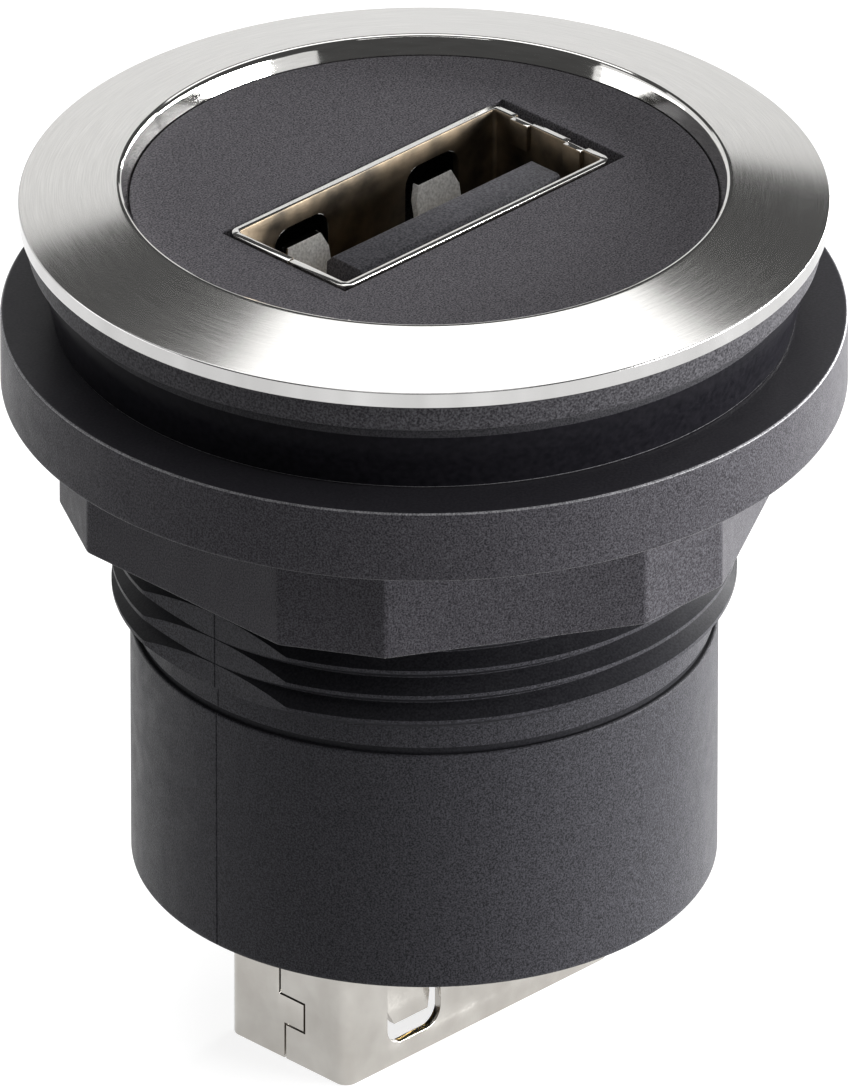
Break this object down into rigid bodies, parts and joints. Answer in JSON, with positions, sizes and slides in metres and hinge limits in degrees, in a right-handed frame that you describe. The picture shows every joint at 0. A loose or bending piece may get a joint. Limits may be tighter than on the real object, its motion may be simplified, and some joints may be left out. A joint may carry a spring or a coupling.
{
  "type": "panel mount usb connector",
  "caption": "Round feed-through USB connector for a panel hole: steel bezel, black threaded housing with seal and flanged nut, and USB-A sockets at the front and rear.",
  "frame": {"origin": "on the axis of the housing, in the plane where the sealing ring meets the panel", "axes": "+Z out of the front along the housing axis, X along the long side of the sockets, the front tongue towards -Y"},
  "size_m": [0.0296, 0.0296, 0.0327],
  "materials": {
    "bezel_steel": "turned and brushed round the axis, polished lip",
    "face_plastic": "fine spark eroded texture",
    "housing_plastic": "fine spark eroded texture",
    "nut_plastic": "fine spark eroded texture",
    "seal_rubber": "smooth moulded rubber",
    "shell_nickel": "satin nickel plated sheet",
    "tongue_plastic": "smooth moulded plastic",
    "contact_gold": "gold flashed contact strip",
    "board_laminate": "coated board laminate"
  },
  "bodies": {
    "connector": {"housing": "housing_plastic", "bezel_ring": "bezel_steel", "face_insert": "face_plastic", "front_shell": "shell_nickel", "front_insulator": "tongue_plastic", "front_contact_1": "contact_gold", "front_contact_2": "contact_gold", "front_contact_3": "contact_gold", "front_contact_4": "contact_gold", "link_board": "board_laminate", "rear_shell": "shell_nickel", "rear_insulator": "tongue_plastic", "rear_contact_1": "contact_gold", "rear_contact_2": "contact_gold", "rear_contact_3": "contact_gold", "rear_contact_4": "contact_gold"},
    "seal": {"sealing_ring": "seal_rubber"},
    "nut": {"mounting_nut": "nut_plastic"}
  },
  "joints": [
    {"name": "nut_turn", "type": "hinge", "parent": "connector", "child": "seal", "pos_m": [0, 0, 0], "axis": [0, 0, -1], "range_deg": [0, 3600]},
    {"name": "nut_travel", "type": "slide", "parent": "seal", "child": "nut", "axis": [0, 0, -1], "range_m": [0, 0.01]}
  ],
  "couplings": [
    {"joint": "nut_travel", "follows": "nut_turn", "m_per_rad": 0.00015915}
  ]
}
